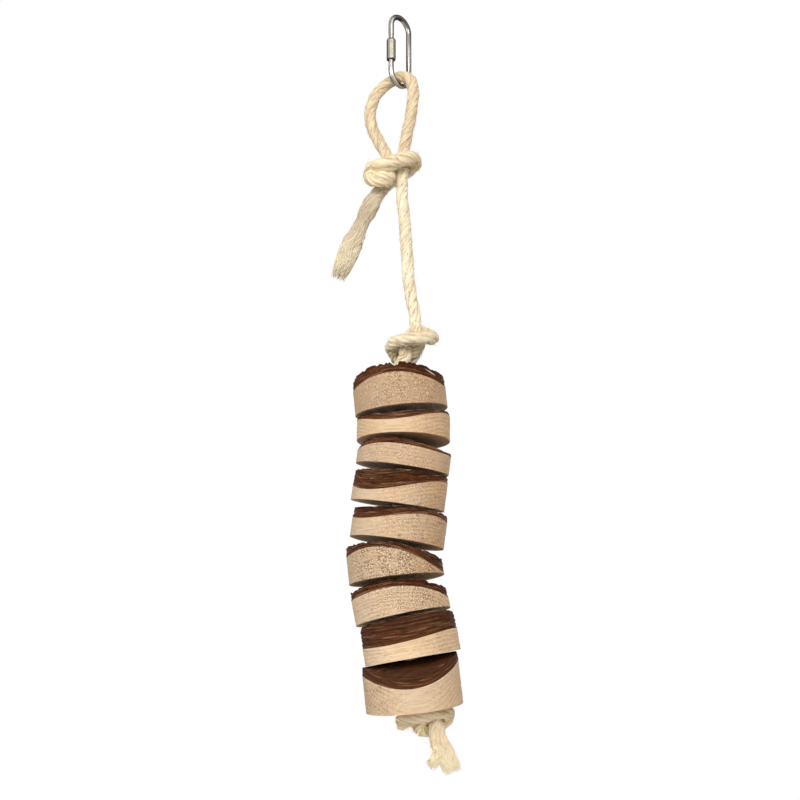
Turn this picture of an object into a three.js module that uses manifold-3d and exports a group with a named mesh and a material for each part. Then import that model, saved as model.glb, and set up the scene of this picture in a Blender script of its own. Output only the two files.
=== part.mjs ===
// A hanging chew toy for birds: nine bark-topped wood slices strung on a sisal rope, between two
// stopper knots, under a knotted rope loop and a steel quick link.
// Millimetres, +Z up. The origin is the inside top of the quick link, by which the toy hangs.
// +X is to the right and -Y is towards the viewer.

import * as THREE from "three";
import { mergeVertices } from "three/addons/utils/BufferGeometryUtils.js";
import Module from "manifold-3d";

const wasm = await Module();
wasm.setup();

// Gap kept between pieces that touch.
const SEAT_GAP = 0.3;

// Quick link: a bent wire with a gap in its near leg, closed by a hex sleeve nut.
const WIRE_DIAMETER = 3;
const LINK_INNER_LENGTH = 38;
const LINK_INNER_WIDTH = 11.5;
const LINK_TURN = 48;
const LINK_GAP = 6;
const LINK_GAP_TOP = 18.6;
const NUT_LENGTH = 12.6;
const NUT_ACROSS_FLATS = 4.6;
const NUT_GRIP = 2.5;
const NUT_CHAMFER = 0.5;

// Rope: 1/4 inch sisal, squeezed where it is knotted.
const ROPE_DIAMETER = 6.5;
const KNOT_SQUEEZE = 0.86;

// Wood slices: plugs cut by one hole saw, drilled for the rope.
const SLICE_DIAMETER = 48;
const BORE_DIAMETER = 10;
const BARK_LEAST = 0.8;
const RIDGE_PITCH = 5.6;
const FURROW_DEPTH = 1.1;
const TURN_CLEARANCE = 0.4;

// Each slice, from the top: where its sawn face is centred, how it leans (lean to the right, rise of
// the front), which way the log falls off (degrees from +X, seen from above), the slope along the
// log, and the log's surface under and over the bark: height at the crown, radius of the log and
// offset of the crown. Turn is how far the slice can turn on the rope either way under the one above.
const SLICES = [
  { x: 0.8, y: 0.4, lean: -5.7, rise: -2.4, fall: -5, slope: 0, turn: 180,
    wood: [16.8, 50, -2.4], bark: [22.4, 54, -3] },
  { x: 1.7, y: 0, lean: 0.6, rise: 0.6, fall: -102, slope: 0.047, turn: 25,
    wood: [11.7, 44, 3.2], bark: [13.6, 115, -2.7] },
  { x: 1.1, y: 0.4, lean: 7.9, rise: -4, fall: -29, slope: -0.007, turn: 15,
    wood: [10.2, 110, 10.2], bark: [13.4, 61, 5.6] },
  { x: -1.3, y: 0.7, lean: 7.6, rise: -4.6, fall: -129, slope: 0.04, turn: 180,
    wood: [13.6, 70, -10.3], bark: [17.2, 163, 1.2] },
  { x: -1.7, y: 0.2, lean: 8.1, rise: -1.2, fall: -142, slope: 0, turn: 180,
    wood: [14.3, 63, -3.1], bark: [16.9, 148, -3.8] },
  { x: -1.6, y: -0.1, lean: -6.5, rise: 0.9, fall: -6, slope: 0.01, turn: 15,
    wood: [15.5, 40, -10.6], bark: [18.9, 80, -18] },
  { x: 1.7, y: -0.2, lean: -11.3, rise: 1.5, fall: 10, slope: 0.026, turn: 30,
    wood: [14.1, 62, -11.4], bark: [18, 74, -11.8] },
  { x: 6.5, y: 0.3, lean: -10.1, rise: -2, fall: -104, slope: 0.045, turn: 30,
    wood: [9.6, 138, 4.2], bark: [20.3, 77, 19.5] },
  { x: 7.2, y: 1.2, lean: -6.2, rise: -6.5, fall: -86, slope: 0.066, turn: 10,
    wood: [20.1, 41, -2.3], bark: [22.7, 52, -0.5] },
];
const TOP_SAWN_FACE = -185.4;

// Rope over the link, from the frayed tip of its tail, through the loop knot and round the loop to
// the standing part under the knot. Everything that hangs is measured from the inside bottom of the
// link, where the rope bears. The fourth number is the thickness against ROPE_DIAMETER.
const LOOP_ROUTE = [
  [-31.5, 0.4, -109.5, 0.9], [-30.2, 0.6, -105.4, 1.4], [-27, 0.9, -97, 1.6],
  [-24.6, 1.2, -90, 1.45], [-21.4, 1.6, -82.8, 1.15], [-18.4, 2, -76.4, 1.15],
  [-15.6, 2.6, -70.4, 1.05], [-12.6, 3.8, -64.6, 0.95],
  [-8.6, 6, -58.6, 0.86], [-3.2, 7.5, -53.8, 0.86], [3, 7.2, -49.8, 0.86], [7.6, 2.8, -46.8, 0.86],
  [7.4, -3.2, -46.4, 0.86], [2.6, -7, -48, 0.86], [-4, -7.6, -50, 0.86], [-10.4, -6.8, -51.6, 0.86],
  [-14.8, -4.5, -52.7, 0.86], [-16.5, -1.9, -56, 0.86], [-14.3, -2.8, -59.6, 0.86],
  [-10.6, -4, -60.6, 0.86], [-7, -2.2, -59, 0.86], [-5.7, 0, -54.8, 0.86], [-5.6, 0.6, -49.4, 0.86],
  [-6.8, 1, -44, 0.92], [-9, 1.6, -38.6, 1],
  [-12, 2.6, -32.6, 1], [-15.2, 4.2, -24.8, 1], [-16.4, 5, -17, 1], [-15.4, 5, -10, 1],
  [-12.6, 4.4, -4.2, 1], [-8.4, 3.6, 0.4, 1], [-4, 2.2, 2.8, 1], [0, 0, 3.7, 1],
  [4, -2.2, 2.4, 1], [6.6, -3.4, -1.6, 1], [7.2, -3.8, -7, 1], [6.9, -3.5, -13, 1],
  [6, -3, -20, 1], [4.4, -2, -28, 1], [2.6, -0.8, -37, 1], [1.5, -0.1, -46, 0.94],
  [1.2, 0, -56, 0.94], [1.1, 0, -64.2, 1], [1.1, 0, -65.7, 0.1],
];
const TAIL_END = 7;
const LOOP_KNOT_END = 24;

// Hanging cord under the loop knot, down into the top stopper knot. The rope flexes under the loop
// knot and twists above the stopper knot, so it is drawn to blunt points there.
const CORD_ROUTE = [
  [1.1, 0, -66, 0.1], [1.2, 0, -67.5, 1], [1.9, 0, -74, 1], [2.6, 0, -83, 1], [3.3, 0, -93, 1],
  [4, 0, -103, 1], [4.6, 0, -113, 1], [5.8, 0, -123, 1], [7.2, -0.4, -130, 1],
  [7.8, -0.9, -134.6, 0.97], [7.95, -1.05, -136, 0.1], [8.05, -1.2, -137.4, 0.9],
];

// Top stopper knot, an overhand knot about its own leaning axis: distance from the axis, angle from
// +X seen from above, and height. Distance and height are in squeezed rope diameters.
const STOPPER_CENTRE = [6, 0, -149.4];
const STOPPER_LEAN = 14;
const STOPPER_TURNS = [
  [0.3, -75, 1.35], [0.56, -30, 0.7], [0.57, 20, 0], [0.6, 62, -0.7], [0.8, 88, -1.14],
  [1.16, 112, -1.29], [1.5, 136, -1.1], [1.66, 168, -0.7], [1.68, 218, -0.35], [1.68, 272, 0.08],
  [1.68, 327, 0.7], [1.66, 376, 1.25], [1.5, 408, 1.6], [1.16, 432, 1.68], [0.8, 456, 1.34],
  [0.6, 482, 0.72], [0.57, 524, 0], [0.56, 570, -0.7], [0.34, 590, -1.3],
];

// Bottom stopper knot and its frayed tail, from the mouth of the lowest bore: a flat overhand knot
// pulled tight. The last rows are the tail.
const FOOT_ROUTE = [
  [-0.3, 0.7, -1.9, 0.86], [-1.5, 2, -4.5, 0.76], [-3.6, 2.2, -6.4, 0.76], [-5.7, 0.4, -7.1, 0.76],
  [-6, -2.8, -6.7, 0.76], [-3.6, -6.2, -5.7, 0.76], [0.6, -8, -4.5, 0.76], [5.4, -8.4, -3.6, 0.76],
  [10.6, -7.8, -2.8, 0.76], [14.8, -5.2, -2.5, 0.76], [16.4, -0.6, -3.1, 0.76], [15.2, 3.2, -5.3, 0.76],
  [11.6, 5, -7.7, 0.76], [7.4, 4.6, -9.5, 0.76], [3.6, 2.4, -10.3, 0.76], [2, -0.6, -8.9, 0.76],
  [3.2, -2.5, -6, 0.76], [5.1, -2.4, -4, 0.76], [7.1, -2, -2.9, 0.76], [9, -1.9, -3.6, 0.76],
  [10.2, -2.2, -5.9, 0.8], [10.7, -2.8, -9.1, 0.88], [11.3, -3.3, -12.9, 1],
  [12.3, -3.4, -17.4, 1.1], [14, -2.8, -21.9, 1.6], [15.2, -2.4, -25.8, 1.9], [16, -2.2, -29.4, 1.3],
];
const FOOT_KNOT_ROWS = 23;

// Facets.
const ROPE_SIDES = 10;
const SLICE_SIDES = 44;
const CROWN_STRIPS = 12;

const wireRadius = WIRE_DIAMETER / 2;
const ropeRadius = ROPE_DIAMETER / 2;
const sliceRadius = SLICE_DIAMETER / 2;
const radians = THREE.MathUtils.degToRad;

const toy = new THREE.Group();
const hung = new THREE.Group();
hung.position.z = -LINK_INNER_LENGTH;
toy.add(hung);

function material(color, roughness, metalness = 0) {
  return new THREE.MeshStandardMaterial({ color, roughness, metalness });
}

function addMesh(parent, name, geometry, finish) {
  const mesh = new THREE.Mesh(geometry, finish);
  mesh.name = name;
  parent.add(mesh);
}

// A closed geometry as a solid for cutting and joining, and back again.
function solidOf(geometry) {
  const bare = geometry.clone();
  bare.deleteAttribute("normal");
  bare.deleteAttribute("uv");
  const merged = mergeVertices(bare, 1e-4);
  return new wasm.Manifold(new wasm.Mesh({
    numProp: 3,
    vertProperties: new Float32Array(merged.attributes.position.array),
    triVerts: new Uint32Array(merged.index.array),
  }));
}

function geometryOf(solid) {
  const mesh = solid.getMesh();
  const geometry = new THREE.BufferGeometry();
  geometry.setAttribute("position", new THREE.BufferAttribute(mesh.vertProperties, 3));
  geometry.setIndex(new THREE.BufferAttribute(mesh.triVerts, 1));
  geometry.computeVertexNormals();
  return geometry;
}

// A round bar along Z from one height to another.
function bar(radius, bottom, top, sides) {
  const geometry = new THREE.CylinderGeometry(radius, radius, top - bottom, sides);
  return geometry.rotateX(Math.PI / 2).translate(0, 0, (top + bottom) / 2);
}

// Quick link. Its plane holds the Z axis and is turned about it, with the gapped leg nearest.
const legOffset = LINK_INNER_WIDTH / 2 + wireRadius;
const bendTop = -LINK_INNER_WIDTH / 2;
const bendBottom = -LINK_INNER_LENGTH + LINK_INNER_WIDTH / 2;
const gapTop = -LINK_GAP_TOP;
const gapBottom = gapTop - LINK_GAP;

function linkPath() {
  const point = (across, height) => new THREE.Vector3(across, 0, height);
  const path = new THREE.CurvePath();
  const bend = (height, start) => {
    const points = [];
    for (let step = 0; step <= 16; step += 1) {
      const angle = start - (Math.PI * step) / 16;
      points.push(point(legOffset * Math.cos(angle), height + legOffset * Math.sin(angle)));
    }
    return points;
  };
  const stops = [
    point(-legOffset, gapTop), ...bend(bendTop, Math.PI), ...bend(bendBottom, 0),
    point(-legOffset, gapBottom),
  ];
  stops.slice(1).forEach((stop, index) => path.add(new THREE.LineCurve3(stops[index], stop)));
  return path;
}

const wireSection = new THREE.Shape().absarc(0, 0, wireRadius, 0, 2 * Math.PI);
const linkWire = new THREE.ExtrudeGeometry(wireSection, {
  extrudePath: linkPath(), steps: 64, curveSegments: 6, bevelEnabled: false,
});

// The sleeve nut grips the lower stem by NUT_GRIP and covers the gap. Its hexagon is turned down to
// a short cone at each end.
function sleeveNut() {
  const corner = NUT_ACROSS_FLATS / Math.sqrt(3);
  const hexagon = new THREE.CylinderGeometry(corner, corner, NUT_LENGTH, 6).rotateX(Math.PI / 2);
  const half = NUT_LENGTH / 2;
  const turned = new THREE.LatheGeometry([
    new THREE.Vector2(0, -half), new THREE.Vector2(corner - NUT_CHAMFER, -half),
    new THREE.Vector2(corner, -half + NUT_CHAMFER), new THREE.Vector2(corner, half - NUT_CHAMFER),
    new THREE.Vector2(corner - NUT_CHAMFER, half), new THREE.Vector2(0, half),
  ], 24).rotateX(Math.PI / 2);
  const thread = bar(wireRadius + SEAT_GAP, -NUT_LENGTH, NUT_LENGTH, 16);
  return geometryOf(solidOf(hexagon).intersect(solidOf(turned)).subtract(solidOf(thread)));
}

const link = new THREE.Group();
link.rotation.z = radians(LINK_TURN);
toy.add(link);
addMesh(link, "quick_link", linkWire, material(0xb9bcc0, 0.28, 1));
const nutPlace = new THREE.Group();
nutPlace.position.set(-legOffset, 0, gapBottom - NUT_GRIP + NUT_LENGTH / 2);
link.add(nutPlace);
addMesh(nutPlace, "quick_link_nut", sleeveNut(), material(0xc9c3ad, 0.32, 1));

// Slices. In a slice's own frame the sawn face is z = 0 and the log falls off along v.
function crown([height, radius, offset], v) {
  return height - (v - offset) ** 2 / (2 * radius);
}

function leanOf(slice) {
  const axis = new THREE.Vector3(Math.sin(radians(slice.lean)), Math.sin(radians(slice.rise)), 0);
  axis.z = Math.sqrt(1 - axis.lengthSq());
  return new THREE.Quaternion().setFromUnitVectors(new THREE.Vector3(0, 0, 1), axis);
}

// The highest place for a slice at which its bark clears the sawn face above it by TURN_CLEARANCE,
// over the whole turn that it has.
function seatUnder(above, slice) {
  const normal = new THREE.Vector3(0, 0, 1).applyQuaternion(leanOf(above));
  const turned = leanOf(slice);
  const centre = new THREE.Vector3(slice.x, slice.y, 0);
  const faceCentre = new THREE.Vector3(above.x, above.y, above.z);
  let highest = Infinity;
  for (let turn = -slice.turn; turn <= slice.turn; turn += 5) {
    for (let radius = BORE_DIAMETER / 2; radius <= sliceRadius; radius += sliceRadius / 24) {
      for (let angle = 0; angle < 360; angle += 4) {
        const along = radians(angle - slice.fall - turn);
        const height = crown(slice.bark, radius * Math.cos(along))
          + slice.slope * radius * Math.sin(along);
        const around = radians(angle);
        const spot = new THREE.Vector3(radius * Math.cos(around), radius * Math.sin(around), height);
        spot.applyQuaternion(turned).add(centre);
        const beside = Math.hypot(spot.x - above.x, spot.y - above.y) > sliceRadius + SEAT_GAP;
        const reach = normal.dot(spot.sub(faceCentre)) + TURN_CLEARANCE;
        if (!beside) highest = Math.min(highest, -reach / normal.z);
      }
    }
  }
  return highest;
}

SLICES.forEach((slice, index) => {
  slice.z = index === 0 ? TOP_SAWN_FACE : seatUnder(SLICES[index - 1], slice);
});

// A prism along the log with the given outline of v and height, sloped as the log is.
function logPrism(outline, slope) {
  const shape = new THREE.Shape(outline.map(([v, height]) => new THREE.Vector2(v, height)));
  const length = 2 * SLICE_DIAMETER;
  const prism = new THREE.ExtrudeGeometry(shape, { depth: length, bevelEnabled: false });
  // Outline x becomes v, outline y becomes height, and the run becomes u.
  prism.translate(0, 0, -length / 2);
  prism.applyMatrix4(new THREE.Matrix4().set(1, 0, 0, 0, 0, 0, -1, 0, 0, 1, -slope, 0, 0, 0, 0, 1));
  return prism;
}

function woodLine(slice) {
  const line = [];
  for (let step = 0; step <= CROWN_STRIPS; step += 1) {
    const v = (sliceRadius + 1) * (-1 + (2 * step) / CROWN_STRIPS);
    line.push([v, crown(slice.wood, v)]);
  }
  return line;
}

// Bark plates run along the log: flat-topped ridges with furrows of uneven depth between them.
function barkLine(slice, seed) {
  const line = [];
  const reach = sliceRadius + 1;
  const ridges = Math.round((2 * reach) / RIDGE_PITCH);
  const width = (2 * reach) / ridges;
  const add = (v, depth) => {
    const least = crown(slice.wood, v) + SEAT_GAP + BARK_LEAST;
    line.push([v, Math.max(crown(slice.bark, v) - depth, least)]);
  };
  add(-reach, 0);
  for (let ridge = 0; ridge < ridges; ridge += 1) {
    const middle = -reach + (ridge + 0.5 + 0.14 * Math.sin(2.1 * ridge + seed)) * width;
    const furrow = FURROW_DEPTH * (0.65 + 0.35 * Math.sin(3.3 * ridge + 2 * seed));
    add(middle - 0.26 * width, 0.25 * furrow);
    add(middle + 0.18 * width, 0);
    if (ridge < ridges - 1) add(middle + 0.48 * width, furrow);
  }
  add(reach, 0.3 * FURROW_DEPTH);
  return line;
}

function sliceSolids(slice, seed) {
  const tall = 3 * SLICE_DIAMETER;
  const plug = solidOf(bar(sliceRadius, 0, tall, SLICE_SIDES))
    .subtract(solidOf(bar(BORE_DIAMETER / 2, -tall, 2 * tall, 16)));
  const wood = woodLine(slice);
  const deep = -SLICE_DIAMETER;
  const last = sliceRadius + 1;
  const under = logPrism([[-last, deep], [last, deep], ...[...wood].reverse()], slice.slope);
  const lifted = wood.map(([v, height]) => [v, height + SEAT_GAP]);
  const layer = logPrism([...lifted, ...barkLine(slice, seed).reverse()], slice.slope);
  const turn = radians(slice.fall);
  return {
    wood: geometryOf(plug.intersect(solidOf(under.rotateZ(turn)))),
    bark: geometryOf(plug.intersect(solidOf(layer.rotateZ(turn)))),
  };
}

SLICES.forEach((slice, index) => {
  const place = new THREE.Group();
  place.position.set(slice.x, slice.y, slice.z);
  place.quaternion.copy(leanOf(slice));
  hung.add(place);
  const solids = sliceSolids(slice, index + 1);
  addMesh(place, `slice_${index + 1}_wood`, solids.wood, material(0xdcb98e, 0.75));
  addMesh(place, `slice_${index + 1}_bark`, solids.bark, material(0x4a2718, 0.9));
});

// Rope. A stretch is a tube between two points of a route, with the thickness carried along it.
function ropeStretch(route, from, to, steps) {
  const curve = new THREE.CatmullRomCurve3(route.map(([x, y, z]) => new THREE.Vector3(x, y, z)));
  const last = route.length - 1;
  const nudge = (at, sign) => {
    const step = curve.getPoint(at / last).distanceTo(curve.getPoint((at + 0.02 * sign) / last));
    return at + (sign * 0.02 * (SEAT_GAP / 2)) / step;
  };
  const start = nudge(from, 1);
  const end = nudge(to, -1);
  const rings = Math.round((to - from) * steps);
  const position = [];
  const index = [];
  let normal = new THREE.Vector3(0, 1, 0);
  for (let ring = 0; ring <= rings; ring += 1) {
    const at = start + ((end - start) * ring) / rings;
    const centre = curve.getPoint(at / last);
    const tangent = curve.getTangent(at / last);
    normal = normal.addScaledVector(tangent, -normal.dot(tangent)).normalize();
    const side = new THREE.Vector3().crossVectors(tangent, normal);
    const low = Math.min(Math.floor(at), last - 1);
    const thickness = THREE.MathUtils.lerp(route[low][3], route[low + 1][3], at - low);
    for (let corner = 0; corner < ROPE_SIDES; corner += 1) {
      const angle = (2 * Math.PI * corner) / ROPE_SIDES;
      const spot = centre.clone()
        .addScaledVector(normal, ropeRadius * thickness * Math.cos(angle))
        .addScaledVector(side, ropeRadius * thickness * Math.sin(angle));
      position.push(...spot.toArray());
      const next = (corner + 1) % ROPE_SIDES;
      const here = ring * ROPE_SIDES;
      if (ring < rings) {
        const there = here + ROPE_SIDES;
        index.push(here + corner, here + next, there + next, here + corner, there + next, there + corner);
      }
    }
  }
  const lastRing = rings * ROPE_SIDES;
  for (let corner = 1; corner < ROPE_SIDES - 1; corner += 1) {
    index.push(0, corner + 1, corner, lastRing, lastRing + corner, lastRing + corner + 1);
  }
  const geometry = new THREE.BufferGeometry();
  geometry.setAttribute("position", new THREE.Float32BufferAttribute(position, 3));
  geometry.setIndex(index);
  geometry.computeVertexNormals();
  return geometry;
}

// The least gap between stretches of a route that are far apart along it, and its height.
function leastSelfGap(route) {
  const curve = new THREE.CatmullRomCurve3(route.map(([x, y, z]) => new THREE.Vector3(x, y, z)));
  const spots = curve.getPoints(12 * (route.length - 1));
  const along = [0];
  spots.slice(1).forEach((spot, k) => along.push(along[k] + spot.distanceTo(spots[k])));
  const radius = (k) => ropeRadius * route[Math.min(Math.round(k / 12), route.length - 1)][3];
  let least = Infinity;
  let height = 0;
  spots.forEach((spot, k) => {
    for (let other = k + 1; other < spots.length; other += 1) {
      const gap = spot.distanceTo(spots[other]) - radius(k) - radius(other);
      const apart = along[other] - along[k] > 2.2 * ROPE_DIAMETER;
      if (apart && gap < least) {
        least = gap;
        height = spot.z - LINK_INNER_LENGTH;
      }
    }
  });
  return `${least.toFixed(2)} at height ${height.toFixed(1)}`;
}

// The stopper knot's route, turned about its leaning axis.
function stopperRoute() {
  const lean = new THREE.Matrix4().makeRotationY(radians(STOPPER_LEAN));
  const pitch = ROPE_DIAMETER * KNOT_SQUEEZE + SEAT_GAP;
  return STOPPER_TURNS.map(([out, angle, height]) => {
    const around = radians(angle);
    const spot = new THREE.Vector3(out * Math.cos(around), out * Math.sin(around), height);
    spot.multiplyScalar(pitch).applyMatrix4(lean).add(new THREE.Vector3(...STOPPER_CENTRE));
    return [...spot.toArray(), KNOT_SQUEEZE];
  });
}

// The core crosses from bore to bore half way between their centres, and lies against the back of
// each bore at mid height.
function coreRoute() {
  const boreSpot = (slice, height) => new THREE.Vector3(0, 0, height)
    .applyQuaternion(leanOf(slice)).add(new THREE.Vector3(slice.x, slice.y, slice.z));
  const lieBack = (BORE_DIAMETER - ROPE_DIAMETER) / 2 - 1.5 * SEAT_GAP;
  const route = [];
  SLICES.forEach((slice, index) => {
    const top = crown(slice.bark, 0);
    const mouth = boreSpot(slice, top);
    if (index > 0) mouth.lerp(boreSpot(SLICES[index - 1], 0), 0.5);
    const middle = boreSpot(slice, top / 2);
    middle.y += lieBack;
    route.push([...mouth.toArray(), 1], [...middle.toArray(), 1]);
  });
  const foot = boreSpot(SLICES.at(-1), 0);
  route.push([...foot.toArray(), 1]);
  return { route, foot };
}

const sisal = material(0xe6d3a6, 0.95);
const { route: core, foot } = coreRoute();
const footRoute = FOOT_ROUTE.map(([x, y, z, thick]) => [foot.x + x, foot.y + y, foot.z + z, thick]);
const stopper = stopperRoute();
const strung = [...CORD_ROUTE, ...stopper, ...core, ...footRoute];
const cordEnd = CORD_ROUTE.length - 2;
const stopperEnd = CORD_ROUTE.length - 1 + stopper.length;
const coreEnd = stopperEnd + core.length;
const knotEnd = coreEnd + FOOT_KNOT_ROWS;

addMesh(hung, "loop_tail", ropeStretch(LOOP_ROUTE, 0, TAIL_END, 1), sisal.clone());
addMesh(hung, "loop_knot", ropeStretch(LOOP_ROUTE, TAIL_END, LOOP_KNOT_END, 3), sisal.clone());
addMesh(hung, "rope_loop", ropeStretch(LOOP_ROUTE, LOOP_KNOT_END, LOOP_ROUTE.length - 1, 2),
  sisal.clone());
addMesh(hung, "hanging_cord", ropeStretch(strung, 0, cordEnd, 1), sisal.clone());
addMesh(hung, "top_stopper_knot", ropeStretch(strung, cordEnd, stopperEnd, 3), sisal.clone());
addMesh(hung, "core_rope", ropeStretch(strung, stopperEnd, coreEnd, 1), sisal.clone());
addMesh(hung, "bottom_stopper_knot", ropeStretch(strung, coreEnd, knotEnd, 3), sisal.clone());
addMesh(hung, "bottom_tail", ropeStretch(strung, knotEnd, strung.length - 1, 1), sisal.clone());

console.log("least gap of the loop rope to itself, mm:", leastSelfGap(LOOP_ROUTE));
console.log("least gap of the strung rope to itself, mm:", leastSelfGap(strung));
console.log("sawn faces, mm:", SLICES.map((slice) => (slice.z - LINK_INNER_LENGTH).toFixed(2)).join(" "));

export default toy;
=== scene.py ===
import math

import bpy
import numpy as np
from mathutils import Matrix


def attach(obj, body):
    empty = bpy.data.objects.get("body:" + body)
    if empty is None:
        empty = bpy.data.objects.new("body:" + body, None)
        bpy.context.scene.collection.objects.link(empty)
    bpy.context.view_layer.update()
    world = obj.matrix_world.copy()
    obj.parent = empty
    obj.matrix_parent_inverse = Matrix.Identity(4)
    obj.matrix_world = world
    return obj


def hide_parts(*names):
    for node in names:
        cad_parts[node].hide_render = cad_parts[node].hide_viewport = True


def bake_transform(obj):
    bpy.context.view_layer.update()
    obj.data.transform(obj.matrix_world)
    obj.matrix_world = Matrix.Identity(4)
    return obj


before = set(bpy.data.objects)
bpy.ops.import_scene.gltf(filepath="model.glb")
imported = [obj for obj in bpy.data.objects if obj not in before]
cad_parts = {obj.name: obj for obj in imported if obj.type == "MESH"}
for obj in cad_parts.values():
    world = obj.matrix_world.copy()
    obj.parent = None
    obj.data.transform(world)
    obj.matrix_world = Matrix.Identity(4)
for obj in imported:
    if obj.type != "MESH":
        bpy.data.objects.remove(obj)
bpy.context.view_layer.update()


# Quick link
# A plated steel wire bent to a long oval, left open in its near leg. Both ends of the gap are
# threaded stems for the sleeve nut, and the oval hangs on a bar or hook.

MM = 0.001
WIRE_RADIUS = 1.5
WIRE_SIDES = 32
LINK_LENGTH = 38.0
LINK_HALF = 5.75
LINK_TURN = math.radians(48.0)
LINK_WAY = np.array([math.cos(LINK_TURN), math.sin(LINK_TURN), 0.0])
GAP_TOP, GAP_BOTTOM = -18.6, -24.6
THREAD_PITCH, THREAD_LENGTH, THREAD_DEPTH = 0.8, 7.0, 0.18
END_CHAMFER, END_CHAMFER_LENGTH = 0.35, 0.4


class Paint:
    """A socket in a material's nodes. Sums and products of sockets add Math nodes."""

    def __init__(self, tree, socket=None):
        self.tree = tree
        self.socket = socket

    def node(self, kind, settings=None, values=None, out=0):
        """Adds a node of a type, sets its settings, then gives its sockets values or links."""
        made = self.tree.nodes.new(kind)
        for name, value in (settings or {}).items():
            setattr(made, name, value)
        for name, value in (values or {}).items():
            if isinstance(value, Paint):
                self.tree.links.new(value.socket, made.inputs[name])
            else:
                made.inputs[name].default_value = value
        return Paint(self.tree, made.outputs[out] if made.outputs else None)

    def _math(self, operation, first, second):
        return self.node("ShaderNodeMath", {"operation": operation}, {0: first, 1: second})

    def __add__(self, other):
        return self._math("ADD", self, other)

    __radd__ = __add__

    def __sub__(self, other):
        return self._math("SUBTRACT", self, other)

    def __rsub__(self, other):
        return self._math("SUBTRACT", other, self)

    def __mul__(self, other):
        return self._math("MULTIPLY", self, other)

    __rmul__ = __mul__


def attribute(paint, name, out="Fac"):
    """A value that the mesh carries along its surface."""
    return paint.node("ShaderNodeAttribute", {"attribute_name": name}, out=out)


def noise(vector, scales, detail=2.0, roughness=0.5, distortion=0.0):
    """Cloudy noise from 0 to 1 at a point whose numbers are multiplied by the scales."""
    place = vector.node("ShaderNodeVectorMath", {"operation": "MULTIPLY"}, {0: vector, 1: scales})
    values = {"Vector": place, "Scale": 1.0, "Detail": detail, "Roughness": roughness,
              "Distortion": distortion}
    return vector.node("ShaderNodeTexNoise", None, values, "Fac")


def span(value, low, high, to_low=0.0, to_high=1.0):
    """The value carried smoothly from one range to another and held at its ends."""
    settings = {"interpolation_type": "SMOOTHSTEP"}
    values = {"Value": value, "From Min": low, "From Max": high, "To Min": to_low, "To Max": to_high}
    return value.node("ShaderNodeMapRange", settings, values, "Result")


def coats(base, *layers):
    """Colours laid in turn over a base colour, each by its own factor."""
    for factor, colour, *mode in layers:
        settings = {"data_type": "RGBA", "blend_type": mode[0] if mode else "MIX"}
        under, over = (each if isinstance(each, Paint) else (*each, 1.0) for each in (base, colour))
        base = factor.node("ShaderNodeMix", settings, {0: factor, 6: under, 7: over}, 2)
    return base


def new_paint(name):
    """An empty material and the start of its nodes."""
    material = bpy.data.materials.new(name)
    material.use_nodes = True
    material.node_tree.nodes.clear()
    return material, Paint(material.node_tree)


def seal(paint, base, roughness, height=None, relief=0.0, strength=1.0, metallic=0.0, **fixed):
    """Joins colour, roughness and relief to the shader and the shader to the surface."""
    values = {"Base Color": base, "Roughness": roughness, "Metallic": metallic, **fixed}
    if height is not None:
        bump = {"Height": height, "Distance": relief, "Strength": strength}
        values["Normal"] = paint.node("ShaderNodeBump", None, bump)
    shader = paint.node("ShaderNodeBsdfPrincipled", None, values)
    paint.node("ShaderNodeOutputMaterial", None, {"Surface": shader})


def unit(vectors):
    """Each vector divided by its length."""
    return vectors / np.linalg.norm(vectors, axis=-1, keepdims=True)


def run_along(line):
    """Distances along a line of points: the running sum of its steps."""
    steps = np.linalg.norm(np.diff(line, axis=-2), axis=-1)
    return np.concatenate([0 * steps[..., :1], np.cumsum(steps, axis=-1)], axis=-1)


def points_from(x, y, z):
    """Points from their three numbers, each spread over the whole grid."""
    return np.stack(np.broadcast_arrays(x, y, z), axis=-1)


def full_turn(sides):
    """Even angles once round, as one row."""
    return np.linspace(0, 2 * np.pi, sides, endpoint=False)[None, :]


def grid_quads(rows, columns, round_rows=False):
    """Four-cornered faces of a grid whose rows are closed rings. The last row may join the first."""
    row = np.arange(rows if round_rows else rows - 1)[:, None]
    column = np.arange(columns)[None, :]
    below, beside = (row + 1) % rows, (column + 1) % columns
    corners = [row * columns + column, row * columns + beside,
               below * columns + beside, below * columns + column]
    return np.stack([corner.ravel() for corner in corners], axis=1)


def tube_faces(rows, sides):
    """The faces of a tube's grid, and one face over each of its ends."""
    ring = np.arange(sides)
    return grid_quads(rows, sides).tolist() + [ring[::-1].tolist(), (ring + (rows - 1) * sides).tolist()]


def put_mesh(name, points, faces, material, carried=None):
    """A smooth mesh object in metres from a grid of points in millimetres. It carries single numbers,
    and grids of numbers or of vectors that fit the points."""
    mesh = bpy.data.meshes.new(name)
    mesh.from_pydata(points.reshape(-1, 3) * MM, [], faces)
    for label, values in (carried or {}).items():
        kind, field, values = "FLOAT_VECTOR", "vector", np.asarray(values, dtype=np.float32)
        if values.ndim < points.ndim:
            kind, field, values = "FLOAT", "value", np.broadcast_to(values, points.shape[:-1])
        mesh.attributes.new(label, kind, "POINT").data.foreach_set(field, values.ravel())
    mesh.polygons.foreach_set("use_smooth", np.ones(len(mesh.polygons), dtype=bool))
    mesh.update()
    piece = bpy.data.objects.new(name, mesh)
    bpy.context.scene.collection.objects.link(piece)
    mesh.materials.append(material)
    return piece


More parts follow.
